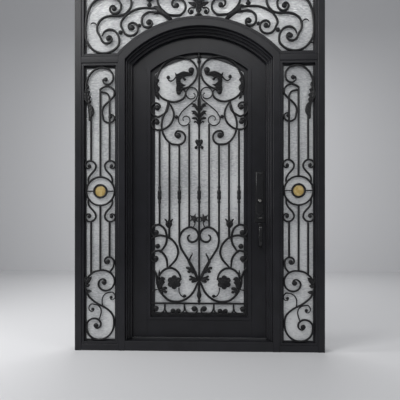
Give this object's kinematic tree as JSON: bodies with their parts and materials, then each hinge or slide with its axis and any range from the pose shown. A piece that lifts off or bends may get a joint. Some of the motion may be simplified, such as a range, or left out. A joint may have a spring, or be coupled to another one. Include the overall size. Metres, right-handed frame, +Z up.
{
  "type": "wrought iron entrance door with sidelights and transom",
  "caption": "Arched wrought iron door leaf hung in a steel frame, with scrollwork over frosted glass in the leaf, the sidelights and the transom.",
  "frame": {"origin": "middle of the sill's underside, at half the frame's depth", "axes": "+X to the right seen from the street, -Y out to the street, +Z up"},
  "size_m": [1.676, 0.199, 2.464],
  "materials": {
    "frame_iron": "satin near-black paint on steel tube",
    "forged_iron": "satin black paint on hammered bar",
    "glass": "rain-textured frosted glass",
    "amber": "amber glass disc",
    "handle_metal": "dark oil-rubbed bronze",
    "hinge_iron": "satin near-black paint"
  },
  "bodies": {
    "root": {"left_jamb": "frame_iron", "right_jamb": "frame_iron", "header": "frame_iron", "left_mullion": "frame_iron", "right_mullion": "frame_iron", "left_transom_bar": "frame_iron", "right_transom_bar": "frame_iron", "transom_arch": "frame_iron", "threshold": "frame_iron", "left_bottom_rail": "frame_iron", "right_bottom_rail": "frame_iron", "left_door_stop": "frame_iron", "right_door_stop": "frame_iron", "arch_door_stop": "frame_iron", "left_sidelight_bead": "frame_iron", "right_sidelight_bead": "frame_iron", "transom_upper_bead": "frame_iron", "transom_lower_bead": "frame_iron", "left_sidelight_glass": "glass", "right_sidelight_glass": "glass", "transom_glass": "glass", "left_sidelight_grille": "forged_iron", "right_sidelight_grille": "forged_iron", "amber_medallions": "amber", "left_transom_scrolls": "forged_iron", "right_transom_scrolls": "forged_iron", "frame_hinge_halves": "hinge_iron"},
    "door": {"hinge_stile": "frame_iron", "lock_stile": "frame_iron", "door_bottom_rail": "frame_iron", "door_arch_rail": "frame_iron", "door_moulding": "frame_iron", "door_glass_sash": "frame_iron", "door_glass": "glass", "door_upper_scrolls": "forged_iron", "door_vertical_bars": "forged_iron", "door_lower_scrolls": "forged_iron", "door_border": "forged_iron", "handle_plate": "handle_metal", "pull_grip": "handle_metal", "key_cylinder": "handle_metal", "interior_plate": "handle_metal", "interior_lever": "handle_metal", "door_hinge_halves": "hinge_iron"},
    "thumb_latch": {"thumb_piece": "handle_metal"}
  },
  "joints": [
    {"name": "door_swing", "type": "hinge", "parent": "root", "child": "door", "pos_m": [-0.4935, 0.085, 0], "axis": [0, 0, 1], "range_deg": [0, 100]},
    {"name": "thumb_press", "type": "hinge", "parent": "door", "child": "thumb_latch", "pos_m": [0.417, 0.008, 0.893], "axis": [1, 0, 0], "range_deg": [0, 18], "stiffness_Nm_per_rad": 0.6, "springref_deg": -5.73}
  ]
}
